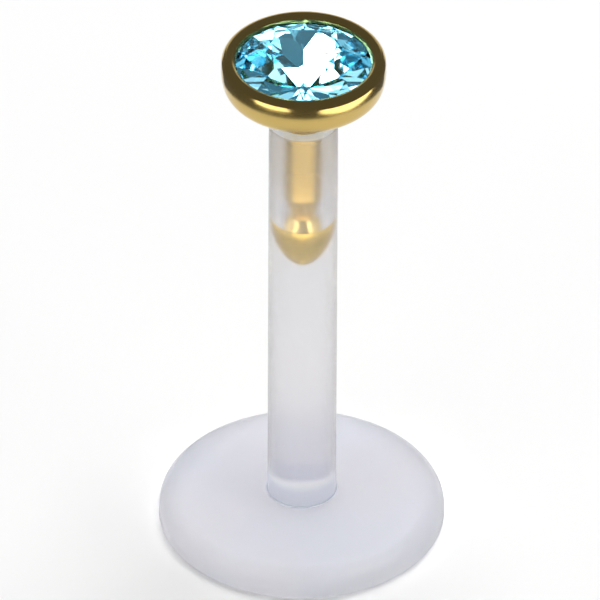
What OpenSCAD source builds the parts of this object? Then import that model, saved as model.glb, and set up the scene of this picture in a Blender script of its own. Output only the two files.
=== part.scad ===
// Labret stud with a push-fit jewelled top.
// A clear plastic disc and post are moulded in one piece, with a blind bore down the post.
// The gold top is a rub-over setting turned in one piece with its conical back and barbed pin.
// It holds a round-cut stone, and its pin pushes into the bore.
// The stud stands on its disc, with +Z up the post.

/* [Disc] */
// Diameter of the disc
disc_d = 5.0; // [4:0.1:8]
// Thickness of the disc beside the post
disc_t = 0.55; // [0.5:0.05:1]
// Fall of the disc's upper face from the post to the rim's round
disc_fall = 0.05; // [0:0.01:0.1]
// Radius of the round on the rim's upper edge
rim_round = 0.34; // [0.1:0.02:0.36]
// Radius of the round on the rim's lower edge
base_round = 0.06; // [0.02:0.01:0.1]
// Radius of the fillet between the disc and the post
foot_fillet = 0.05; // [0.02:0.01:0.15]

/* [Post] */
// Diameter of the post, 1.2 for 16 gauge
post_d = 1.2; // [1.1:0.1:1.6]
// Length of the post above the disc
post_l = 8.0; // [6:0.5:14]

/* [Bore] */
// Diameter of the blind bore that the pin pushes into
bore_d = 0.70; // [0.6:0.02:0.76]
// Clearance between the bore's end and the pin's nose, along the bore
tip_gap = 0.03; // [0.02:0.01:0.1]
// Width of the chamfer round the bore's mouth
mouth_chamfer = 0.02; // [0.01:0.01:0.05]

/* [Pin] */
// Length of the pin below the setting's seat
pin_l = 2.95; // [2.4:0.05:3.6]
// Radial clearance of the barb in the bore
barb_gap = 0.01; // [0.01:0.01:0.03]
// Radial clearance of the pin's shank in the bore
shank_gap = 0.02; // [0.02:0.01:0.06]
// Diameter of the neck between the shank and the barb
neck_d = 0.42; // [0.34:0.02:0.48]
// Diameter of the small round at the pin's tip
tip_d = 0.2; // [0.12:0.02:0.3]

/* [Setting] */
// Height of the cup from its underside to the top of its lip
cup_h = 0.73; // [0.7:0.01:0.9]
// Thickness of the cup's wall round the stone
wall_t = 0.21; // [0.18:0.01:0.3]
// How far the rubbed-over lip reaches in past the wall
lip_reach = 0.05; // [0.04:0.01:0.1]
// Thickness of the lip at its inner edge
lip_t = 0.12; // [0.1:0.01:0.14]
// Radius of the round on the cup's lower edge
cup_round = 0.3; // [0.1:0.02:0.32]
// Width of the flat ring between the cup's round and the conical back
back_step = 0.14; // [0.05:0.01:0.25]
// Thickness of metal under the point of the stone
floor_t = 0.37; // [0.1:0.01:0.45]
// Height of the collar that the setting seats on
collar_h = 0.05; // [0.03:0.01:0.1]
// Width of the collar outside the bore's chamfer
collar_w = 0.05; // [0.03:0.01:0.1]
// Clearance between the collar and the post's mouth
seat_gap = 0.01; // [0.01:0.01:0.05]

/* [Stone] */
// Diameter of the stone at its girdle
stone_d = 2.4; // [2.2:0.05:2.6]
// Thickness of the girdle
girdle_h = 0.05; // [0.04:0.01:0.08]
// Tilt of the crown's main facets
crown_tilt = 29; // [25:1:32]
// Tilt of the pavilion's main facets
pavilion_tilt = 31; // [28:0.5:40]
// Width of the table across its corners, as a share of the stone's diameter
table_share = 0.49; // [0.44:0.01:0.6]
// Turn of the stone in its setting
stone_turn = 23; // [0:1:45]
// Clearance round the girdle and under the lip
stone_gap = 0.02; // [0.015:0.005:0.03]
// Clearance under the point of the stone
point_gap = 0.06; // [0.05:0.01:0.1]

/* [Hidden] */
$fn = 96;

disc_r = disc_d / 2;
post_r = post_d / 2;
bore_r = bore_d / 2;
shoulder_z = disc_t - disc_fall;
mouth_z = disc_t + post_l;
// The upper round stops short of the lower one on a thin disc
rim_r = min(rim_round, shoulder_z - base_round * 1.5);

barb_r = bore_r - barb_gap;
shank_r = bore_r - shank_gap;
neck_r = neck_d / 2;
tip_r = tip_d / 2;

stone_r = stone_d / 2;
crown_h = stone_r * (1 - table_share) * tan(crown_tilt);
pavilion_h = stone_r * tan(pavilion_tilt);
cavity_r = stone_r + stone_gap;
cup_r = cavity_r + wall_t;
lip_r = (wall_t + lip_reach) / 2;
lip_z = cup_h - lip_r;
lip_inner_r = cavity_r - lip_reach;
// The lip's underside lies a clearance above the cone of the crown's main facets
crown_room = stone_gap / cos(crown_tilt);
girdle_z = cup_h - lip_t - crown_room - (stone_r - lip_inner_r) * tan(crown_tilt) - girdle_h;
cavity_tip_z = girdle_z - pavilion_h - point_gap;
back_h = floor_t - cavity_tip_z;
back_r = cup_r - cup_round - back_step;
collar_r = bore_r + mouth_chamfer + collar_w;
// The setting's own zero is the cup's underside
cup_z = mouth_z + seat_gap + back_h;

// The pin's outline below its seat: heights as shares of the pin's length
PIN_OUTLINE = [
    // share, radius
    [0, shank_r],
    [0.5, shank_r],
    [0.65, neck_r],
    [0.66, neck_r],
    [0.72, barb_r],
    [0.73, barb_r]
];
// The nose below the barb: shares of its height, and shares of the way from the barb's radius to the tip's
NOSE_OUTLINE = [
    // height, inward
    [0.25, 0.08],
    [0.5, 0.26],
    [0.75, 0.58],
    [0.92, 1]
];
nose_top = PIN_OUTLINE[len(PIN_OUTLINE) - 1][0] * pin_l;
nose_l = pin_l - nose_top;
nose_taper = barb_r - tip_r;

// Rows of facets in the order they are cut. A lean is how far a facet's normal leans from straight up.
// A reach is how far out the facet's plane crosses its level, as a share of the stone's radius.
star_tilt = crown_tilt * 0.53;
// The star facets meet the table inside the line between its corners
table_edge = table_share * cos(22.5) * 1.01;
CUTS = [
    // level, count, first angle, lean, reach
    [girdle_h, 8, 0, crown_tilt, 0.997],
    [girdle_h, 8, 22.5, star_tilt, table_edge + crown_h / stone_r / tan(star_tilt)],
    [girdle_h, 16, 11.25, crown_tilt * 1.26, 0.985],
    [0, 8, 0, 180 - pavilion_tilt, 0.997],
    [0, 16, 11.25, 180 - pavilion_tilt * 1.05, 0.985]
];
FACETS = [
    for (cut = CUTS)
        for (i = [0 : cut[1] - 1])
            // level, angle, lean, reach
            [cut[0], cut[2] + i * 360 / cut[1], cut[3], cut[4]]
];
// Share of the pavilion's height left above the small flat at its point
culet_share = 0.97;

module disc_outline() {
    polygon([
        [0, 0],
        [disc_r - base_round, 0],
        [disc_r, base_round],
        [disc_r, shoulder_z - rim_r],
        [disc_r - rim_r, shoulder_z],
        [post_r + foot_fillet, disc_t],
        [0, disc_t]
    ]);
    round_corner(disc_r, 0, base_round);
    mirrored_corner(disc_r, shoulder_z, rim_r);
}

// The quarter circle that rounds a lower outer corner at x and z
module round_corner(x, z, r) {
    translate([x - r, z + r])
        intersection() {
            circle(r);
            translate([0, -r])
                square(r);
        }
}

// The quarter circle that rounds an upper outer corner at x and z
module mirrored_corner(x, z, r) {
    translate([0, z])
        mirror([0, 1])
            round_corner(x, 0, r);
}

// The ring of material in the corner between the disc and the post
module fillet_outline() {
    difference() {
        translate([post_r / 2, disc_t / 2])
            square([post_r / 2 + foot_fillet, disc_t / 2 + foot_fillet]);
        translate([post_r + foot_fillet, disc_t + foot_fillet])
            circle(foot_fillet);
    }
}

// Half of the bore's section, with zero at the post's mouth. Its end follows the pin's nose.
module bore_outline() {
    nose_z = seat_gap - nose_top - tip_gap;
    polygon(concat(
        [
            [0, mouth_chamfer],
            [bore_r + mouth_chamfer * 2, mouth_chamfer],
            [bore_r, -mouth_chamfer],
            [bore_r, nose_z]
        ],
        [for (row = NOSE_OUTLINE) [bore_r - nose_taper * row[1], nose_z - row[0] * nose_l]],
        [[0, nose_z - nose_l]]
    ));
}

module disc_and_post() {
    color("lavender", 0.6)
        difference() {
            union() {
                rotate_extrude()
                    disc_outline();
                rotate_extrude()
                    fillet_outline();
                cylinder(h = mouth_z, r = post_r);
            }
            translate([0, 0, mouth_z])
                rotate_extrude()
                    bore_outline();
        }
}

// Half of the pin's section, with zero at the seat
module pin_outline() {
    polygon(concat(
        [[0, collar_h]],
        [[shank_r, collar_h]],
        [for (row = PIN_OUTLINE) [row[1], -row[0] * pin_l]],
        [for (row = NOSE_OUTLINE)
            [barb_r - nose_taper * row[1], -nose_top - row[0] * nose_l]],
        [[0, -pin_l]]
    ));
}

// Half of the cup's and conical back's section before it is hollowed, with zero at the cup's underside
module cup_outline() {
    polygon([
        [0, -back_h],
        [collar_r, -back_h],
        [collar_r, -back_h + collar_h],
        [back_r, 0],
        [cup_r - cup_round, 0],
        [cup_r, cup_round],
        [cup_r, lip_z],
        [0, lip_z]
    ]);
    round_corner(cup_r, 0, cup_round);
}

// Half of the section of the stone's room: the cone under it, the wall round it and the lip's underside
module room_outline() {
    crown_z = girdle_z + girdle_h + crown_room;
    rise = stone_r * tan(crown_tilt);
    polygon([
        [0, cavity_tip_z],
        [cavity_r, girdle_z],
        [cavity_r, crown_z - stone_gap * tan(crown_tilt)],
        [0, crown_z + rise]
    ]);
}

module setting_and_pin() {
    color("gold")
        translate([0, 0, cup_z]) {
            difference() {
                union() {
                    rotate_extrude()
                        cup_outline();
                    rotate_extrude()
                        translate([cup_r - lip_r, lip_z])
                            circle(lip_r);
                }
                rotate_extrude()
                    room_outline();
            }
            translate([0, 0, -back_h])
                rotate_extrude()
                    pin_outline();
        }
}

// Everything behind a facet's plane
module behind_facet(facet) {
    size = stone_d * 2;
    translate([0, 0, facet[0]])
        rotate([0, facet[2], facet[1]])
            translate([0, 0, facet[3] * stone_r * sin(facet[2]) - size / 2])
                cube(size, center = true);
}

// The round blank with its first facets cut, as many as asked
module cut_blank(facets) {
    if (facets == 0)
        translate([0, 0, -pavilion_h * culet_share])
            cylinder(h = pavilion_h * culet_share + girdle_h + crown_h, r = stone_r);
    else
        intersection() {
            cut_blank(facets - 1);
            behind_facet(FACETS[facets - 1]);
        }
}

module stone() {
    color("deepskyblue", 0.7)
        translate([0, 0, cup_z + girdle_z])
            rotate([0, 0, stone_turn])
                cut_blank(len(FACETS));
}

disc_and_post();
setting_and_pin();
stone();
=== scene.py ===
"""Looks of a labret stud: a clear plastic disc and post, a gold setting on a pin, and a blue stone."""

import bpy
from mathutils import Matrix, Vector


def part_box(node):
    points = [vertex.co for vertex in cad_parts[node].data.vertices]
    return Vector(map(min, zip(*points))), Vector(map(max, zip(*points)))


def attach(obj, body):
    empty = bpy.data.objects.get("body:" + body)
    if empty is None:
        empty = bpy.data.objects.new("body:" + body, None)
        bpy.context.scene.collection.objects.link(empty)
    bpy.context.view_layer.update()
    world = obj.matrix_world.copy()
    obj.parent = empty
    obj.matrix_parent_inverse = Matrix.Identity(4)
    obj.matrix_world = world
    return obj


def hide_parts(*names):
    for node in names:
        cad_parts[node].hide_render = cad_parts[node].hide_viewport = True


bl_info = {
    "name": "Labret Stud",
    "version": (1, 0, 0),
    "blender": (4, 5, 0),
    "location": "3D View > Sidebar > Labret Stud",
    "description": "Dresses a labret stud's packed frame in its plastic, gold and stone",
    "category": "Add Mesh",
}

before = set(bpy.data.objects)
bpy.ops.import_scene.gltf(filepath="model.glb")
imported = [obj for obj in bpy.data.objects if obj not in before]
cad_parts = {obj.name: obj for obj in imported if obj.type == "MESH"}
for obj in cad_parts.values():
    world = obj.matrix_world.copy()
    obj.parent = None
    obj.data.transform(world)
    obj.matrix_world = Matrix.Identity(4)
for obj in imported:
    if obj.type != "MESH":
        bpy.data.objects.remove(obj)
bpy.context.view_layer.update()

import math

import bpy
from bpy.props import FloatProperty, FloatVectorProperty, IntProperty, PointerProperty
from mathutils import Matrix, Quaternion, Vector

MM = 0.001
# A hair's breadth, which keeps two surfaces or finishes apart
EDGE = 0.002 * MM

# The photograph's frame, in pixels, and the camera's sensor
PHOTO_SIDE = 600
SENSOR = 36.0

# The boxes of the three nodes, at rest
PLASTIC_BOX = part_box("disc_and_post")
GOLD_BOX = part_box("setting_and_pin")
STONE_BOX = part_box("stone")


def width(box):
    """How far a box reaches along X."""
    return box[1].x - box[0].x


def size(name, description, default):
    """A length property, kept in metres and shown in the scene's unit."""
    return FloatProperty(name=name, description=description, default=default, min=0.0,
                         unit="LENGTH", subtype="DISTANCE", precision=5)


def share(name, description, default, highest=1.0):
    """A plain number from 0 to highest."""
    return FloatProperty(name=name, description=description, default=default, min=0.0, max=highest)


def number(name, description, default):
    """A plain number without limits."""
    return FloatProperty(name=name, description=description, default=default)


def angle(name, description, degrees):
    """An angle property, given here in degrees."""
    return FloatProperty(name=name, description=description, default=math.radians(degrees),
                         unit="ROTATION", subtype="ANGLE")


def colour(name, description, default):
    """A linear colour property."""
    return FloatVectorProperty(name=name, description=description, default=default, min=0.0, max=1.0,
                               size=3, subtype="COLOR")


# Settings

class StudPlastic(bpy.types.PropertyGroup):
    """Sizes and looks of the disc and post."""

    disc_d: size("Disc diameter", "Diameter of the disc", width(PLASTIC_BOX))
    disc_t: size("Disc thickness", "Thickness of the disc beside the post", 0.55 * MM)
    disc_fall: size("Disc fall", "Fall of the disc's upper face towards its rim", 0.05 * MM)
    rim_round: size("Rim round", "Radius of the round on the rim's upper edge", 0.34 * MM)
    base_round: size("Base round", "Radius of the round on the rim's lower edge", 0.06 * MM)
    foot_fillet: size("Foot fillet", "Radius of the fillet between disc and post", 0.05 * MM)
    post_d: size("Post diameter", "Diameter of the post", 1.2 * MM)
    post_top: size("Post's end", "Height of the post's end above the disc's back", PLASTIC_BOX[1].z)
    bore_d: size("Bore diameter", "Diameter of the blind bore", 0.70 * MM)
    mouth_chamfer: size("Mouth chamfer", "Width of the chamfer round the bore's mouth", 0.02 * MM)
    edge_round: size("Edge round", "Radius that softens the moulding's sharp edges", 0.02 * MM)
    tint: colour("Tint", "Colour of the milky plastic", (0.795, 0.79, 0.825))
    cool_tint: colour("Cool tint", "Colour of the plastic's cooler clouds", (0.77, 0.78, 0.825))
    cloud_scale: number("Cloud scale", "Clouds in a metre of plastic", 420.0)
    foot_shade: colour("Foot shade", "Colour of the shade at the post's foot", (0.54, 0.58, 0.69))
    foot_shade_h: size("Foot shade height", "Height of that shade above the disc", 0.4 * MM)
    foot_shade_fade: size("Foot shade fade", "How far its edge fades, up and down", 0.12 * MM)
    clearness: share("Clearness", "Share of the light that passes the surface", 0.94)
    ior: number("Refraction", "Refractive index of the plastic", 1.5)
    spread: size("Spread", "How far light spreads under the surface", 0.6 * MM)
    haze: number("Haze", "How strongly the plastic scatters, per metre", 200.0)
    haze_tint: colour("Haze tint", "Colour of the light that the haze scatters", (0.995, 0.995, 0.998))
    haze_onward: share("Haze onward", "How strongly the haze sends light onward", 0.4)
    polish: share("Polish roughness", "Roughness of the outer surface", 0.24)
    cloud_dulling: share("Cloud dulling", "Roughness that the clouds add", 0.05)
    skin_scale: number("Skin scale", "Ripples in a metre of the moulded skin", 5200.0)
    skin_depth: size("Skin depth", "Depth of those ripples", 0.002 * MM)
    skin_relief: share("Skin relief", "Strength of those ripples", 0.35)
    # Painted light: a glow on the post's flat end, for the light that the post pipes there
    painted_end_glow: colour("End light", "Light that the post pipes to its flat end", (0.14, 0.16, 0.17))
    disc_frost: share("Disc frost", "Roughness that the disc has above the post's", 0.25)
    bore_roughness: share("Bore roughness", "Roughness of the bore's wall", 0.14)
    # Painted reflection: a dull, gold-coloured share of the bore's wall beside the shank stands in for
    # the gold's light on it
    painted_gold_reflection: share("Rub", "Share of the bore's wall beside the shank that is rubbed dull", 0.32)
    painted_reflection_colour: colour("Rub colour", "Colour of that wall by the gold's light", (0.50, 0.38, 0.17))
    painted_reflection_foot: size("Rub foot", "Height of the rub's lower end above the disc's back", 7.3 * MM)
    painted_reflection_fade: size("Rub fade", "How far that end fades, up and down", 0.7 * MM)


class StudGold(bpy.types.PropertyGroup):
    """Sizes and looks of the setting and pin."""

    cup_d: size("Cup diameter", "Outer diameter of the cup", width(GOLD_BOX))
    cup_h: size("Cup height", "Height of the cup from its underside to its lip", 0.73 * MM)
    wall_t: size("Cup wall", "Thickness of the cup's wall round the stone", 0.21 * MM)
    lip_reach: size("Lip reach", "How far the rubbed-over lip reaches in past the wall", 0.05 * MM)
    bow_radius: size("Bow radius", "Radius of the gentle bow of the cup's side", 1.25 * MM)
    bow_height: size("Bow height", "Height of the side's widest place above the underside", 0.5 * MM)
    cup_round: size("Cup round", "Radius of the round on the cup's lower edge", 0.3 * MM)
    back_step: size("Back step", "Width of the flat ring under the cup", 0.14 * MM)
    back_round: size("Back round", "Radius that softens the conical back's corners", 0.03 * MM)
    floor_t: size("Floor thickness", "Metal under the point of the stone", 0.37 * MM)
    stone_gap: size("Stone gap", "Clearance between the lip and the stone's crown", 0.02 * MM)
    soft_edge: size("Soft edge", "Radius that softens the lip's inner edge", 0.012 * MM)
    collar_d: size("Collar diameter", "Diameter of the collar that seats on the post", 0.84 * MM)
    collar_h: size("Collar height", "Height of that collar", 0.05 * MM)
    seat_gap: size("Seat gap", "Clearance between the collar and the post's end", 0.01 * MM)
    shank_d: size("Shank diameter", "Diameter of the pin's plain shank", 0.66 * MM)
    neck_d: size("Neck diameter", "Diameter of the neck above the barb", 0.42 * MM)
    barb_press: size("Barb press", "How far the barb presses into the bore's wall", 0.002 * MM)
    stem_round: size("Stem round", "Radius that softens the corners above the barb", 0.08 * MM)
    metal: colour("Metal", "Colour of the gold", (0.62, 0.45, 0.15))
    warm_metal: colour("Warm metal", "Colour of the gold's warmer patches", (0.56, 0.38, 0.12))
    # Painted light: the pin's gold is a brighter copy of the same gold, standing in for more light on it
    painted_lit_pin_metal: colour("Pin metal", "Colour of the pin's brighter, unworn gold", (0.87, 0.64, 0.22))
    polish: share("Polish roughness", "Roughness of the polished gold", 0.1)
    patch_scale: number("Patch scale", "Warmer patches in a metre", 900.0)
    patch_warmth: share("Patch warmth", "Share of the warm colour in a patch", 0.6)
    patch_dulling: share("Patch dulling", "Roughness that the patches add", 0.08)
    line_scale: number("Line scale", "Turning lines in a metre", 30000.0)
    mark_scale: number("Mark scale", "Handling marks in a metre", 9000.0)
    mark_dulling: share("Mark dulling", "Roughness that the marks add", 0.05)
    relief_depth: size("Relief depth", "Depth of the turning lines and the marks", 0.001 * MM)
    relief: share("Relief", "Strength of that relief", 0.4)


class StudStone(bpy.types.PropertyGroup):
    """The cut of the stone and its looks."""

    girdle_h: size("Girdle", "Thickness of the girdle", 0.05 * MM)
    crown_tilt: angle("Crown tilt", "Tilt of the crown's main facets", 29.0)
    table_share: share("Table", "Width of the table, as a share of the stone's width", 0.49)
    glass: colour("Glass", "Colour of the glass at its surface", (0.93, 0.99, 1.0))
    depth_tint: colour("Depth tint", "Colour that the stone's depth lets through", (0.36, 0.86, 0.96))
    depth: number("Depth", "Strength of the depth tint, per metre", 500.0)
    ior: number("Refraction", "Refractive index of the glass", 1.5)
    polish: share("Polish roughness", "Roughness of the polished glass", 0.004)
    foil: colour("Foil", "Colour of the mirror foil under the stone", (0.86, 0.92, 0.95))
    foil_roughness: share("Foil roughness", "Roughness of the mirror foil", 0.03)
    mark_scale: number("Mark scale", "Polishing marks in a metre", 7000.0)
    mark_dulling: share("Mark dulling", "Roughness that the marks add to the glass", 0.01)
    foil_dulling: share("Foil dulling", "Roughness that the marks add to the foil", 0.02)


class StudStage(bpy.types.PropertyGroup):
    """The floor, the light and the view."""

    elevation: angle("Elevation", "Height of the view above level", 37.1)
    roll: angle("Roll", "How far the photograph leans the stud to the right", 0.26)
    distance: size("Distance", "Distance from the camera to the stud", 380 * MM)
    pixels_per_mm: number("Pixels per mm", "Scale of the photograph", 57.44)
    aim_height: size("Aim height", "Height of the point at the photograph's middle", 4.664 * MM)
    axis_column: number("Axis column", "Pixel column of the post's axis", 302.6)
    floor_colour: colour("Floor", "Colour of the floor", (0.93, 0.93, 0.93))
    floor_w: size("Floor width", "Width of the floor", 1400 * MM)
    mat_colour: colour("Mat", "Colour of the dark mat that the metal mirrors", (0.12, 0.12, 0.12))
    mat_inner_d: size("Mat opening", "Width of the opening in the mat round the stud", 25 * MM)
    mat_reach: number("Mat reach", "How far round the mat goes on each side, in degrees", 145.0)
    surround: share("Surround", "Brightness of the studio's dark surroundings", 0.12, 10.0)


class StudSettings(bpy.types.PropertyGroup):
    """The settings of every piece and of the stage."""

    plastic: PointerProperty(type=StudPlastic)
    gold: PointerProperty(type=StudGold)
    stone: PointerProperty(type=StudStone)
    stage: PointerProperty(type=StudStage)
    turn_steps: IntProperty(name="Steps round", description="Faces round a turned piece",
                            default=192, min=24)


# Node graphs written as Python

class Wire:
    """One output socket of a graph. Arithmetic on it adds Math nodes."""

    def __init__(self, graph, socket):
        self.graph = graph
        self.socket = socket

    def maths(self, operation, *values):
        """The result of an operation on some values."""
        return self.graph.node("ShaderNodeMath", {"operation": operation}, dict(enumerate(values)))

    def __add__(self, other):
        return self.maths("ADD", self, other)

    def __radd__(self, other):
        return self.maths("ADD", other, self)

    def __sub__(self, other):
        return self.maths("SUBTRACT", self, other)

    def __rsub__(self, other):
        return self.maths("SUBTRACT", other, self)

    def __mul__(self, other):
        return self.maths("MULTIPLY", self, other)

    def __rmul__(self, other):
        return self.maths("MULTIPLY", other, self)

    def __truediv__(self, other):
        return self.maths("DIVIDE", self, other)

    def __gt__(self, other):
        return self.maths("GREATER_THAN", self, other)


class Graph:
    """A material's, world's or geometry's node tree."""

    def __init__(self, tree):
        self.tree = tree

    def node(self, kind, settings=None, inputs=None, output=0):
        """Adds a node, sets it up, feeds its sockets and returns one of its outputs."""
        node = self.tree.nodes.new(kind)
        for name, value in (settings or {}).items():
            setattr(node, name, value)
        for key, value in (inputs or {}).items():
            self.feed(self.find(node.inputs, key), value)
        return Wire(self, self.find(node.outputs, output)) if node.outputs else node

    @staticmethod
    def find(sockets, key):
        """A socket by its number, its identifier or its name."""
        if isinstance(key, int):
            return sockets[key]
        named = [socket for socket in sockets if socket.identifier == key]
        return named[0] if named else sockets[key]

    def feed(self, socket, value):
        """Links a wire to a socket, or sets the socket's own value."""
        if isinstance(value, Wire):
            self.tree.links.new(value.socket, socket)
        else:
            socket.default_value = value

    def mix_colours(self, amount, first, second):
        """A colour between two, by amount."""
        settings = {"data_type": "RGBA", "blend_type": "MIX", "clamp_factor": True}
        inputs = {"Factor_Float": amount, "A_Color": as_colour(first), "B_Color": as_colour(second)}
        return self.node("ShaderNodeMix", settings, inputs, "Result_Color")

    def between(self, value, low, high, to_low=0.0, to_high=1.0):
        """Maps low..high smoothly to to_low..to_high."""
        inputs = {"Value": value, "From Min": low, "From Max": high, "To Min": to_low, "To Max": to_high}
        return self.node("ShaderNodeMapRange", {"interpolation_type": "SMOOTHSTEP"}, inputs, "Result")

    def noise(self, place, scale, detail=2.0, roughness=0.5, stretch=(1.0, 1.0, 1.0)):
        """Cloudy noise from 0 to 1, with about scale clouds to a metre."""
        stretched = self.node("ShaderNodeVectorMath", {"operation": "MULTIPLY"}, {0: place, 1: stretch})
        inputs = {"Vector": stretched, "Scale": scale, "Detail": detail, "Roughness": roughness}
        return self.node("ShaderNodeTexNoise", {"noise_dimensions": "3D"}, inputs, "Fac")

    def bump(self, height, distance, strength):
        """A normal from a height from 0 to 1 that stands for a real distance."""
        inputs = {"Height": height, "Distance": distance, "Strength": strength}
        return self.node("ShaderNodeBump", None, inputs, "Normal")


def as_colour(value):
    """Gives a plain colour its alpha, and leaves a wire as it is."""
    return value if isinstance(value, Wire) else (*value, 1.0)


def new_finish(name):
    """An empty material, with its graph and its output node."""
    material = bpy.data.materials.new(name)
    material.use_nodes = True
    material.node_tree.nodes.clear()
    graph = Graph(material.node_tree)
    output = graph.node("ShaderNodeOutputMaterial")
    return material, graph, output


def place_and_height(graph):
    """A point's place on its object, and its height there."""
    place = graph.node("ShaderNodeTexCoord", None, None, "Object")
    return place, graph.node("ShaderNodeSeparateXYZ", None, {0: place}, "Z")


def distance_from_axis(graph, place):
    """How far a place lies from the stud's axis."""
    flat = graph.node("ShaderNodeVectorMath", {"operation": "MULTIPLY"}, {0: place, 1: (1.0, 1.0, 0.0)})
    return graph.node("ShaderNodeVectorMath", {"operation": "LENGTH"}, {0: flat}, "Value")


# Finishes

# Levels of the noise between which a cloud or a warm patch comes in
CLOUD_LEVELS = (0.38, 0.66)
PATCH_LEVELS = (0.42, 0.7)
# Shares of the post's radius and of the bore's between which one look gives way to the next
POST_FADE = (1.01, 1.08)
BORE_FADE = (1.05, 1.2)
# How far below the disc's face or the post's end the look above it begins to come in
FACE_FADE = 0.1 * MM
# How far below the post's end the painted glow on its end begins
PAINTED_GLOW_DEPTH = 4 * EDGE
# How far below the post's end the painted gold reflection on the bore's wall begins to give out, and
# where it is gone
MOUTH_FADE = (0.25 * MM, 0.05 * MM)
# The share of the gold's relief that is turning lines; the rest is handling marks
LINE_SHARE = 0.6
# How closely the marks lie along X, Y and Z, which makes them run up and down
MARK_STRETCH = (1.0, 1.0, 0.35)


def beyond(graph, from_axis, radius, fade):
    """1 outside a radius and 0 inside it, with a fade between two shares of the radius."""
    return graph.between(from_axis, radius * fade[0], radius * fade[1])


def above(graph, height, level, fade):
    """1 above a level and 0 below it, with a fade that reaches as far up as down."""
    return graph.between(height, level - fade, level + fade)


def plastic_finish(plastic):
    """Milky clear moulded plastic: faint clouds, a fine moulded skin and a smoother bore, with painted
    shade at the post's foot, a painted glow on its end and a painted gold reflection on the bore's wall.
    """
    material, graph, output = new_finish("milky_clear_plastic")
    place, height = place_and_height(graph)
    from_axis = distance_from_axis(graph, place)
    clouds = graph.noise(place, plastic.cloud_scale)
    skin = graph.noise(place, plastic.skin_scale, detail=3.0, roughness=0.6)
    milk = graph.mix_colours(graph.between(clouds, *CLOUD_LEVELS), plastic.tint, plastic.cool_tint)

    # The foot of the post gathers the disc's shade
    shade_top = plastic.disc_t + plastic.foot_shade_h
    below_shade_top = 1 - above(graph, height, shade_top, plastic.foot_shade_fade)
    above_disc = graph.between(height, plastic.disc_t - FACE_FADE, plastic.disc_t)
    on_disc = beyond(graph, from_axis, plastic.post_d / 2, POST_FADE)
    on_foot = below_shade_top * (1 - on_disc) * above_disc
    tint = graph.mix_colours(on_foot, milk, plastic.foot_shade)

    outside = beyond(graph, from_axis, plastic.bore_d / 2, BORE_FADE)
    skin_roughness = plastic.polish + plastic.cloud_dulling * clouds + plastic.disc_frost * on_disc
    roughness = outside * skin_roughness + (1 - outside) * plastic.bore_roughness

    # Painted light: the post's flat end glows, standing in for the light that the post pipes there
    end_face = graph.between(height, plastic.post_top - PAINTED_GLOW_DEPTH, plastic.post_top - EDGE)
    painted_end_glow = graph.mix_colours(end_face, (0.0, 0.0, 0.0), plastic.painted_end_glow)
    clear = graph.node("ShaderNodeBsdfPrincipled", None, {
        "Base Color": tint,
        "Emission Color": painted_end_glow,
        "Emission Strength": 1.0,
        "Roughness": roughness,
        "IOR": plastic.ior,
        "Transmission Weight": plastic.clearness,
        "Subsurface Weight": 1.0,
        "Subsurface Radius": (1.0, 1.0, 1.0),
        "Subsurface Scale": plastic.spread,
        "Normal": graph.bump(skin, plastic.skin_depth, plastic.skin_relief),
    })

    # Painted reflection: the bore's wall beside the shank is dulled and takes a gold colour that stands
    # in for the gold's light on it
    painted_reflection_wall = graph.node("ShaderNodeBsdfDiffuse", None, {"Color": as_colour(plastic.painted_reflection_colour)})
    above_reflection_foot = above(graph, height, plastic.painted_reflection_foot, plastic.painted_reflection_fade)
    fade_start, fade_end = (plastic.post_top - depth for depth in MOUTH_FADE)
    below_mouth = 1 - graph.between(height, fade_start, fade_end)
    painted_gold_reflection = (1 - outside) * above_reflection_foot * below_mouth * plastic.painted_gold_reflection
    surface = graph.node("ShaderNodeMixShader", None, {0: painted_gold_reflection, 1: clear, 2: painted_reflection_wall})
    haze = graph.node("ShaderNodeVolumeScatter", None, {
        "Color": as_colour(plastic.haze_tint),
        "Density": plastic.haze,
        "Anisotropy": plastic.haze_onward,
    })
    graph.feed(output.inputs["Surface"], surface)
    graph.feed(output.inputs["Volume"], haze)
    return material


def gold_finish(gold):
    """Polished gold: warm patches, fine turning lines round the axis and light handling marks, with
    painted light that makes the pin's gold brighter.
    """
    material, graph, output = new_finish("polished_gold")
    place, height = place_and_height(graph)
    from_axis = distance_from_axis(graph, place)
    patches = graph.noise(place, gold.patch_scale, detail=3.0)
    lathe = graph.node("ShaderNodeCombineXYZ", None, {"X": from_axis, "Z": height})
    lines = graph.noise(lathe, gold.line_scale, roughness=0.7)
    marks = graph.noise(place, gold.mark_scale, detail=4.0, roughness=0.65, stretch=MARK_STRETCH)
    warmth = graph.between(patches, *PATCH_LEVELS, 0.0, gold.patch_warmth)
    worn_metal = graph.mix_colours(warmth, gold.metal, gold.warm_metal)
    # Painted light: the pin below the post's end gets the brighter copy of the gold
    on_pin = 1 - graph.between(height, PLASTIC_BOX[1].z - FACE_FADE, PLASTIC_BOX[1].z)
    relief = LINE_SHARE * lines + (1 - LINE_SHARE) * marks
    surface = graph.node("ShaderNodeBsdfPrincipled", None, {
        "Base Color": graph.mix_colours(on_pin, worn_metal, gold.painted_lit_pin_metal),
        "Metallic": 1.0,
        "Roughness": gold.polish + gold.patch_dulling * patches + gold.mark_dulling * marks,
        "Normal": graph.bump(relief, gold.relief_depth, gold.relief),
    })
    graph.feed(output.inputs["Surface"], surface)
    return material


def crown_foot(stone):
    """Height at which the stone's crown meets its girdle."""
    crown_h = width(STONE_BOX) / 2 * (1 - stone.table_share) * math.tan(stone.crown_tilt)
    return STONE_BOX[1].z - crown_h


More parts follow.
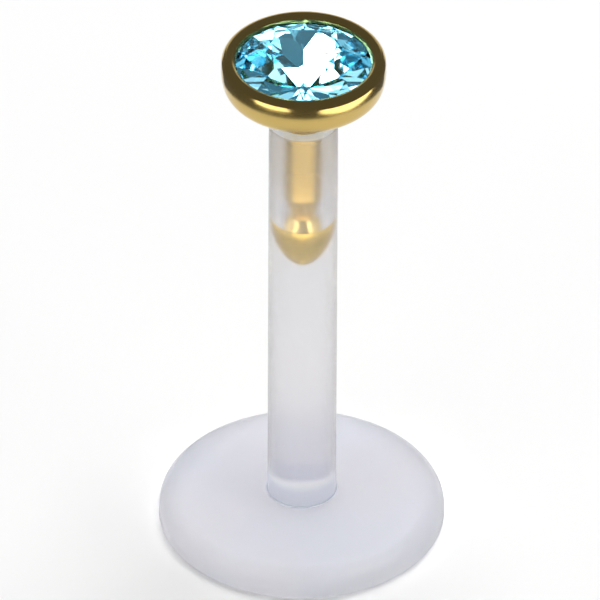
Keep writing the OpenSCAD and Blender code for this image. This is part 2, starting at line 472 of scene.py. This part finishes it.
def stone_finish(stone):
    """Blue glass above the girdle and mirror foil below it, with faint polishing marks."""
    material, graph, output = new_finish("foiled_blue_glass")
    place, height = place_and_height(graph)
    marks = graph.noise(place, stone.mark_scale, detail=3.0, roughness=0.6)
    glass = graph.node("ShaderNodeBsdfPrincipled", None, {
        "Base Color": as_colour(stone.glass),
        "Roughness": stone.polish + stone.mark_dulling * marks,
        "IOR": stone.ior,
        "Transmission Weight": 1.0,
    })
    foil = graph.node("ShaderNodeBsdfPrincipled", None, {
        "Base Color": as_colour(stone.foil),
        "Metallic": 1.0,
        "Roughness": stone.foil_roughness + stone.foil_dulling * marks,
    })
    above_girdle = height > crown_foot(stone) + EDGE
    surface = graph.node("ShaderNodeMixShader", None, {0: above_girdle, 1: foil, 2: glass})
    depth = graph.node("ShaderNodeVolumeAbsorption", None,
                       {"Color": as_colour(stone.depth_tint), "Density": stone.depth})
    graph.feed(output.inputs["Surface"], surface)
    graph.feed(output.inputs["Volume"], depth)
    return material


# Outlines and turned pieces

def arc(centre, radius, start, end, steps=12):
    """Points along a circle in the outline's plane, between two angles in degrees."""
    turns = [math.radians(start + (end - start) * i / steps) for i in range(steps + 1)]
    return [(centre[0] + radius * math.cos(turn), centre[1] + radius * math.sin(turn)) for turn in turns]


def rounded(corners, radius, steps=6):
    """The corners of an open line, each inner one turned into an arc of the radius."""
    points = [corners[0]]
    for before, corner, after in zip(corners, corners[1:], corners[2:]):
        here = Vector(corner)
        back = Vector(before) - here
        ahead = Vector(after) - here
        shorter = min(back.length, ahead.length)
        back.normalize()
        ahead.normalize()
        half = back.angle(ahead) / 2
        # The arc takes half of the shorter side at most
        reach = min(radius / math.tan(half), shorter / 2)
        centre = here + (back + ahead).normalized() * reach / math.cos(half)
        first = here + back * reach - centre
        last = here + ahead * reach - centre
        turn = first.angle_signed(last)
        for i in range(steps + 1):
            spoke = first.copy()
            spoke.rotate(Matrix.Rotation(-turn * i / steps, 2))
            points.append(tuple(centre + spoke))
    return points + [corners[-1]]


# How far down the pin its parts begin and end, as shares of its length. The nose is what is left.
SHANK_END = 0.5
NECK_START = 0.65
NECK_END = 0.66
BARB_START = 0.72
BARB_END = 0.73
NOSE_SHARE = 1 - BARB_END
# The power that gives the nose its curve
NOSE_POWER = 1.14


def nose(radius, tip_z, length, steps=24):
    """Points from a blunt tip on the axis up to the full radius."""
    points = []
    for i in range(steps + 1):
        lean = math.radians(90 * i / steps)
        across = math.sin(lean) ** NOSE_POWER
        along = 1 - math.cos(lean) ** NOSE_POWER
        points.append((radius * across, tip_z + length * along))
    return points


def plastic_outline(plastic, pin_top_z, pin_tip_z):
    """Half of the disc and post's section, from the middle of its back to the end of its bore."""
    disc_r = plastic.disc_d / 2
    post_r = plastic.post_d / 2
    bore_r = plastic.bore_d / 2
    shoulder_z = plastic.disc_t - plastic.disc_fall
    fillet = plastic.foot_fillet
    edge = plastic.edge_round
    chamfer = plastic.mouth_chamfer
    top = plastic.post_top
    # The pin's nose is pressed a hair into the end of the bore
    bore_end = nose(bore_r, pin_tip_z + EDGE, (pin_top_z - pin_tip_z) * NOSE_SHARE)
    rim = plastic.rim_round
    base = plastic.base_round
    return (
        [(0.0, 0.0)]
        + arc((disc_r - base, base), base, -90, 0)
        + arc((disc_r - rim, shoulder_z - rim), rim, 0, 90, steps=20)
        + arc((post_r + fillet, plastic.disc_t + fillet), fillet, 270, 180)
        + arc((post_r - edge, top - edge), edge, 0, 90)
        + [(bore_r + chamfer, top), (bore_r, top - chamfer)]
        + bore_end[::-1]
    )


def pin_outline(gold, seat_z, tip_z, bore_r):
    """Half of the pin's section, from tip to seat: a blunt nose, the barb, the neck and the shank."""
    length = seat_z - tip_z
    barb_r = bore_r + gold.barb_press
    shank_r = gold.shank_d / 2
    neck_r = gold.neck_d / 2
    stem = [
        (barb_r, seat_z - BARB_END * length),
        (barb_r, seat_z - BARB_START * length),
        (neck_r, seat_z - NECK_END * length),
        (neck_r, seat_z - NECK_START * length),
        (shank_r, seat_z - SHANK_END * length),
        (shank_r, seat_z),
    ]
    return nose(barb_r, tip_z, length * NOSE_SHARE)[:-1] + rounded(stem, gold.stem_round)


def inside_bow(bow_centre, bow_r, radius, height):
    """Centre of a circle at a height that touches the bow from inside, and the angle where they meet."""
    rise = height - bow_centre[1]
    reach = math.sqrt((bow_r - radius) ** 2 - rise ** 2)
    return (bow_centre[0] + reach, height), math.degrees(math.atan2(rise, reach))


def setting_outline(gold, stone, cup_z, seat_z):
    """Half of the setting's section, from its seat on the post to the point of its cavity."""
    cup_r = gold.cup_d / 2
    cavity_r = cup_r - gold.wall_t
    lip_r = (gold.wall_t + gold.lip_reach) / 2
    bow_r = gold.bow_radius
    bow_centre = (cup_r - bow_r, cup_z + gold.bow_height)
    foot_centre, bow_foot = inside_bow(bow_centre, bow_r, gold.cup_round, cup_z + gold.cup_round)
    lip_centre, bow_top = inside_bow(bow_centre, bow_r, lip_r, cup_z + gold.cup_h - lip_r)
    # The lip's underside follows the slope of the stone's crown
    slope = stone.crown_tilt
    stone_r = width(STONE_BOX) / 2
    under_z = crown_foot(stone) + gold.stone_gap / math.cos(slope)
    rise = (under_z - lip_centre[1]) * math.cos(slope) + (stone_r - lip_centre[0]) * math.sin(slope)
    lip_end = 180 - math.degrees(math.asin(rise / lip_r) + slope)
    lip = arc(lip_centre, lip_r, bow_top, lip_end, steps=36)
    girdle_z = crown_foot(stone) - stone.girdle_h
    cavity = [lip[-2], lip[-1], (cavity_r, under_z), (cavity_r, girdle_z), (0.0, seat_z + gold.floor_t)]
    collar_r = gold.collar_d / 2
    back_r = foot_centre[0] - gold.back_step
    underside = rounded([
        (collar_r, seat_z),
        (collar_r, seat_z + gold.collar_h),
        (back_r, cup_z),
        (foot_centre[0], cup_z),
    ], gold.back_round)
    return (
        underside
        + arc(foot_centre, gold.cup_round, -90, bow_foot, steps=20)[1:]
        + arc(bow_centre, bow_r, bow_foot, bow_top)[1:-1]
        + lip[:-1]
        + rounded(cavity, gold.soft_edge)[1:]
    )


# What the turning tree is given, with each port's kind
TURNING_PORTS = {"Outline": "Geometry", "Steps": "Int", "Sharp Angle": "Float", "Weld": "Float",
                 "Material": "Material"}
# Edges of a turned piece that turn by more than this stay crisp
SHARP_ANGLE = math.radians(35.0)
# Points of a turned piece that lie closer than this become one
WELD = 0.0001 * MM


def new_turning_tree():
    """A tree that turns an outline round Z into a closed, smooth piece of one material."""
    tree = bpy.data.node_groups.new("turned_piece", "GeometryNodeTree")
    for name, kind in TURNING_PORTS.items():
        tree.interface.new_socket(name, in_out="INPUT", socket_type="NodeSocket" + kind)
    tree.interface.new_socket("Piece", in_out="OUTPUT", socket_type="NodeSocketGeometry")
    graph = Graph(tree)
    given = graph.node("NodeGroupInput").socket.node
    outline, steps, sharp_angle, weld, material = (
        Wire(graph, socket) for socket in given.outputs[:len(TURNING_PORTS)])

    # A flat grid, one row of points for each step round, becomes the turned skin
    count = {"component": "MESH"}
    points = graph.node("GeometryNodeAttributeDomainSize", count, {0: outline}, "Point Count")
    grid = graph.node("GeometryNodeMeshGrid", None, {
        "Size X": steps, "Size Y": points - 1,
        "Vertices X": steps + 1, "Vertices Y": points,
    }, "Mesh")
    on_grid = graph.node("GeometryNodeInputPosition")
    cell = {name: graph.node("ShaderNodeSeparateXYZ", None, {0: on_grid}, name) for name in "XY"}
    turn = (cell["X"] / steps + 0.5) * math.tau
    row = cell["Y"] + (points - 1) / 2
    along = row.maths("ROUND", row)
    corner = graph.node("GeometryNodeSampleIndex", {"data_type": "FLOAT_VECTOR", "domain": "POINT"}, {
        "Geometry": outline, "Value": graph.node("GeometryNodeInputPosition"), "Index": along,
    }, "Value")
    from_axis = graph.node("ShaderNodeSeparateXYZ", None, {0: corner}, "X")
    height = graph.node("ShaderNodeSeparateXYZ", None, {0: corner}, "Z")
    skin_place = graph.node("ShaderNodeCombineXYZ", None, {
        "X": from_axis * turn.maths("COSINE", turn),
        "Y": from_axis * turn.maths("SINE", turn),
        "Z": height,
    })
    skin = graph.node("GeometryNodeSetPosition", None, {"Geometry": grid, "Position": skin_place})
    closed = graph.node("GeometryNodeMergeByDistance", None, {"Geometry": skin, "Distance": weld})

    # Edges that turn sharply stay crisp
    edge_turn = graph.node("GeometryNodeInputMeshEdgeAngle", None, None, "Unsigned Angle")
    smooth = graph.node("GeometryNodeSetShadeSmooth", {"domain": "FACE"},
                        {"Geometry": closed, "Shade Smooth": True})
    crisp = graph.node("GeometryNodeSetShadeSmooth", {"domain": "EDGE"},
                       {"Geometry": smooth, "Selection": edge_turn > sharp_angle, "Shade Smooth": False})
    plain = graph.node("GeometryNodeRealizeInstances", None, {"Geometry": crisp})
    finished = graph.node("GeometryNodeSetMaterial", None, {"Geometry": plain, "Material": material})
    graph.node("NodeGroupOutput", None, {0: finished})
    return tree


def turned_piece(name, outline, material, steps):
    """Turns an outline of (radius, height) points into a plain closed mesh object."""
    mesh = bpy.data.meshes.new(name + "_outline")
    sides = [(i, i + 1) for i in range(len(outline) - 1)]
    mesh.from_pydata([(radius, 0.0, height) for radius, height in outline], sides, [])
    maker = bpy.data.objects.new(name + "_outline", mesh)
    bpy.context.scene.collection.objects.link(maker)
    tree = bpy.data.node_groups.get("turned_piece") or new_turning_tree()
    given = {"Steps": steps, "Sharp Angle": SHARP_ANGLE, "Weld": WELD, "Material": material}
    turning = maker.modifiers.new("Turned", "NODES")
    turning.node_group = tree
    for port in tree.interface.items_tree:
        if port.in_out == "INPUT" and port.name in given:
            turning[port.identifier] = given[port.name]
    graph = bpy.context.evaluated_depsgraph_get()
    finished = bpy.data.meshes.new_from_object(maker.evaluated_get(graph), depsgraph=graph)
    maker.modifiers.remove(turning)
    bpy.data.objects.remove(maker)
    bpy.data.meshes.remove(mesh)
    piece = bpy.data.objects.new(name, finished)
    finished.name = name
    bpy.context.scene.collection.objects.link(piece)
    return piece


# Operators for the three pieces

def seat_height(gold):
    """Height of the collar's underside, where the pin begins."""
    return PLASTIC_BOX[1].z + gold.seat_gap


class StudMakePlastic(bpy.types.Operator):
    """Makes the disc and post of milky clear plastic"""

    bl_idname = "stud.make_plastic"
    bl_label = "Disc and post"

    def execute(self, context):
        settings = context.scene.stud
        outline = plastic_outline(settings.plastic, seat_height(settings.gold), GOLD_BOX[0].z)
        finish = plastic_finish(settings.plastic)
        piece = turned_piece("clear_disc_and_post", outline, finish, settings.turn_steps)
        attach(piece, "post")
        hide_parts("disc_and_post")
        return {"FINISHED"}


class StudMakeGold(bpy.types.Operator):
    """Makes the gold setting with its lip, its back and its barbed pin"""

    bl_idname = "stud.make_gold"
    bl_label = "Setting and pin"

    def execute(self, context):
        settings = context.scene.stud
        gold = settings.gold
        cup_z = GOLD_BOX[1].z - gold.cup_h
        seat_z = seat_height(gold)
        pin = pin_outline(gold, seat_z, GOLD_BOX[0].z, settings.plastic.bore_d / 2)
        outline = pin + setting_outline(gold, settings.stone, cup_z, seat_z)
        piece = turned_piece("gold_setting_and_pin", outline, gold_finish(gold), settings.turn_steps)
        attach(piece, "top")
        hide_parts("setting_and_pin")
        return {"FINISHED"}


class StudDressStone(bpy.types.Operator):
    """Gives the cut stone its blue glass and mirror foil"""

    bl_idname = "stud.dress_stone"
    bl_label = "Stone"

    def execute(self, context):
        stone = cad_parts["stone"]
        finish = stone_finish(context.scene.stud.stone)
        for slot in stone.material_slots:
            slot.material = finish
        return {"FINISHED"}


# The stage: its lights, floor, mat, camera and world

# Watts that an area light needs for each square metre of itself and each unit of its radiance
WATTS_FOR_GLOW = 4


def direction(azimuth, elevation):
    """The unit vector towards a place round the stud. Azimuth 0 is the photograph's side."""
    turn = math.radians(azimuth)
    rise = math.radians(elevation)
    return Vector((math.sin(turn) * math.cos(rise), -math.cos(turn) * math.cos(rise), math.sin(rise)))


def lit_group(name):
    """A collection of one of the stud's pieces, for the lights that reach nothing else."""
    pieces = {
        "plastic": bpy.data.objects["clear_disc_and_post"],
        "gold": bpy.data.objects["gold_setting_and_pin"],
        "stone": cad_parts["stone"],
    }
    group = bpy.data.collections.get("lit_" + name)
    if not group:
        group = bpy.data.collections.new("lit_" + name)
        group.objects.link(pieces[name])
    return group


def add_panel(name, azimuth, elevation, distance, panel_w, panel_h, brightness, seen, piece=None,
              tint=(1.0, 1.0, 1.0)):
    """A light panel that faces the stud's head. Brightness is its radiance, where pure white is 1.

    Its distance and its sides are in millimetres.
    Seen says what it lights: soft for what scatters, mirror for reflections, through for clear pieces.
    A panel with a piece's name lights only that piece.
    """
    light = bpy.data.lights.new(name, "AREA")
    light.shape = "RECTANGLE"
    light.size = panel_w * MM
    light.size_y = panel_h * MM
    light.energy = brightness * WATTS_FOR_GLOW * light.size * light.size_y
    light.color = tint
    lamp = bpy.data.objects.new(name, light)
    towards = direction(azimuth, elevation)
    lamp.location = towards * distance * MM + Vector((0.0, 0.0, GOLD_BOX[1].z))
    lamp.rotation_mode = "QUATERNION"
    lamp.rotation_quaternion = towards.to_track_quat("Z", "Y")
    lamp.visible_camera = False
    lamp.visible_diffuse = "soft" in seen
    lamp.visible_volume_scatter = "soft" in seen
    lamp.visible_glossy = "mirror" in seen
    lamp.visible_transmission = "through" in seen
    if piece:
        lamp.light_linking.receiver_collection = lit_group(piece)
    bpy.context.scene.collection.objects.link(lamp)


class StudMakeStage(bpy.types.Operator):
    """Makes the floor, the soft studio light and the camera"""

    bl_idname = "stud.make_stage"
    bl_label = "Stage"

    # The panels, by name: azimuth and elevation in degrees, distance, width and height in millimetres,
    # brightness, what it lights, the one piece that it reaches, and its colour
    PANELS = {
        "left_panel": (-44, 6, 220, 180, 50, 4.0, "soft"),
        "right_panel": (62, 6, 220, 180, 50, 4.0, "soft"),
        "top_panel": (160, 70, 240, 170, 170, 5.5, "soft"),
        "left_bank": (-103, 6, 60, 80, 34, 6.0, "through", "stone"),
        "front_left_bank": (-52, 25, 60, 34, 24, 6.0, "through", "stone"),
        "left_high_bank": (-62, 47, 60, 32, 30, 6.0, "through", "stone"),
        "left_side_bank": (-110, 38, 60, 40, 24, 0.9, "through", "stone"),
        "left_back_bank": (-145, 30, 60, 28, 22, 2.0, "through", "stone"),
        "right_high_bank": (58, 56, 60, 22, 28, 6.5, "through", "stone"),
        "right_side_bank": (100, 50, 60, 26, 30, 0.7, "through", "stone"),
        "right_low_bank": (92, -5, 60, 40, 20, 1.6, "through", "stone"),
        "right_back_bank": (125, 16, 60, 30, 24, 1.2, "through", "stone"),
        "back_high_bank": (-165, 62, 60, 50, 26, 2.8, "through", "stone"),
        "sky_card": (0, 90, 100, 400, 400, 0.12, "through", "stone", (0.1, 0.7, 1.0)),
        "left_fill": (-95, 10, 60, 90, 40, 1.3, "through", "plastic"),
        "right_fill": (95, 10, 60, 90, 40, 0.9, "through", "plastic"),
        "back_fill": (180, 10, 60, 110, 46, 0.85, "through", "plastic"),
        "sky_fill": (0, 90, 100, 300, 300, 1.0, "through", "plastic"),
        "pin_card": (0, -52, 11, 18, 12, 1.5, "through", "plastic", (1.0, 0.84, 0.42)),
        "left_glint": (-52, 36, 60, 34, 18, 14.0, "through", "plastic"),
        "right_glint": (54, 36, 60, 38, 18, 16.0, "through", "plastic"),
        "left_streak": (-41, -11, 20, 16, 15, 2.1, "mirror", "gold"),
        "right_streak": (60, -26, 15, 21, 5, 2.1, "mirror", "gold"),
        "back_strip": (180, 10, 60, 60, 18, 0.5, "mirror", "gold"),
    }

    def execute(self, context):
        stage = context.scene.stud.stage
        self.make_floor(stage)
        self.make_mat(stage)
        for name, values in self.PANELS.items():
            add_panel(name, *values)
        self.make_camera(stage)
        self.set_up_world(context.scene, stage)
        return {"FINISHED"}

    @staticmethod
    def make_sheet(name, corners, faces, finish_name, shader, tint):
        """A sheet of flat faces, with a finish of one shader."""
        mesh = bpy.data.meshes.new(name)
        mesh.from_pydata(corners, [], faces)
        material, graph, output = new_finish(finish_name)
        graph.feed(output.inputs["Surface"], graph.node(shader, None, {"Color": as_colour(tint)}))
        mesh.materials.append(material)
        sheet = bpy.data.objects.new(name, mesh)
        bpy.context.scene.collection.objects.link(sheet)
        return sheet

    def make_floor(self, stage):
        """A pale floor, a hair below the disc's back."""
        half = stage.floor_w / 2
        square = ((-half, -half), (half, -half), (half, half), (-half, half))
        corners = [(x, y, -EDGE) for x, y in square]
        floor = self.make_sheet("floor", corners, [(0, 1, 2, 3)],
                                "pale_floor", "ShaderNodeBsdfDiffuse", stage.floor_colour)

    def make_mat(self, stage):
        """A dark mat round the stud, open at the back, that only reflections show."""
        steps = 64
        turns = [math.radians(stage.mat_reach * (2 * i / steps - 1)) for i in range(steps + 1)]
        corners = []
        for radius in (stage.mat_inner_d / 2, stage.floor_w / 2):
            corners += [(radius * math.sin(turn), -radius * math.cos(turn), EDGE) for turn in turns]
        across = steps + 1
        faces = [(i, i + across, i + across + 1, i + 1) for i in range(steps)]
        mat = self.make_sheet("mat", corners, faces, "dark_mat", "ShaderNodeEmission", stage.mat_colour)
        mat.visible_camera = False
        mat.visible_diffuse = False
        mat.visible_transmission = False
        mat.visible_volume_scatter = False
        mat.visible_shadow = False

    @staticmethod
    def make_camera(stage):
        """A camera that sees the stud as the photograph does."""
        data = bpy.data.cameras.new("camera")
        focal_px = stage.pixels_per_mm * stage.distance / MM
        data.sensor_width = SENSOR
        data.lens = focal_px / PHOTO_SIDE * SENSOR
        data.clip_start = 1 * MM
        data.clip_end = 10.0
        camera = bpy.data.objects.new("camera", data)
        back = direction(0.0, math.degrees(stage.elevation))
        sideways = (PHOTO_SIDE / 2 - stage.axis_column) / stage.pixels_per_mm * MM
        camera.location = Vector((sideways, 0.0, stage.aim_height)) + back * stage.distance
        camera.rotation_mode = "QUATERNION"
        lean = Quaternion((0.0, 0.0, 1.0), stage.roll)
        camera.rotation_quaternion = back.to_track_quat("Z", "Y") @ lean
        bpy.context.scene.collection.objects.link(camera)
        bpy.context.scene.camera = camera

    @staticmethod
    def set_up_world(scene, stage):
        """Dim surroundings, and as many bounces of light as clear plastic and a cut stone need."""
        world = bpy.data.worlds.new("studio")
        world.use_nodes = True
        world.node_tree.nodes.clear()
        graph = Graph(world.node_tree)
        glow = graph.node("ShaderNodeBackground", None,
                          {"Color": (1.0, 1.0, 1.0, 1.0), "Strength": stage.surround})
        graph.feed(graph.node("ShaderNodeOutputWorld").inputs["Surface"], glow)
        scene.world = world
        scene.view_settings.view_transform = "Standard"
        scene.cycles.use_denoising = True
        scene.cycles.max_bounces = 24
        scene.cycles.transmission_bounces = 24
        scene.cycles.glossy_bounces = 12
        scene.cycles.diffuse_bounces = 6
        scene.cycles.volume_bounces = 8
        scene.cycles.sample_clamp_indirect = 8.0


class StudPanel(bpy.types.Panel):
    """Lists the stud's pieces and their settings"""

    bl_idname = "VIEW3D_PT_stud"
    bl_label = "Labret Stud"
    bl_space_type = "VIEW_3D"
    bl_region_type = "UI"
    bl_category = "Labret Stud"

    def draw(self, context):
        settings = context.scene.stud
        groups = [(StudMakePlastic, settings.plastic), (StudMakeGold, settings.gold),
                  (StudDressStone, settings.stone), (StudMakeStage, settings.stage)]
        self.layout.prop(settings, "turn_steps")
        for operator, group in groups:
            box = self.layout.box()
            box.operator(operator.bl_idname)
            for name in group.bl_rna.properties.keys():
                if name not in ("rna_type", "name"):
                    box.prop(group, name)


CLASSES = (StudPlastic, StudGold, StudStone, StudStage, StudSettings,
           StudMakePlastic, StudMakeGold, StudDressStone, StudMakeStage, StudPanel)


def register():
    for cls in CLASSES:
        bpy.utils.register_class(cls)
    bpy.types.Scene.stud = PointerProperty(type=StudSettings)


def unregister():
    del bpy.types.Scene.stud
    for cls in reversed(CLASSES):
        bpy.utils.unregister_class(cls)


def main():
    register()
    bpy.ops.stud.make_plastic()
    bpy.ops.stud.make_gold()
    bpy.ops.stud.dress_stone()
    bpy.ops.stud.make_stage()


if __name__ == "__main__":
    main()
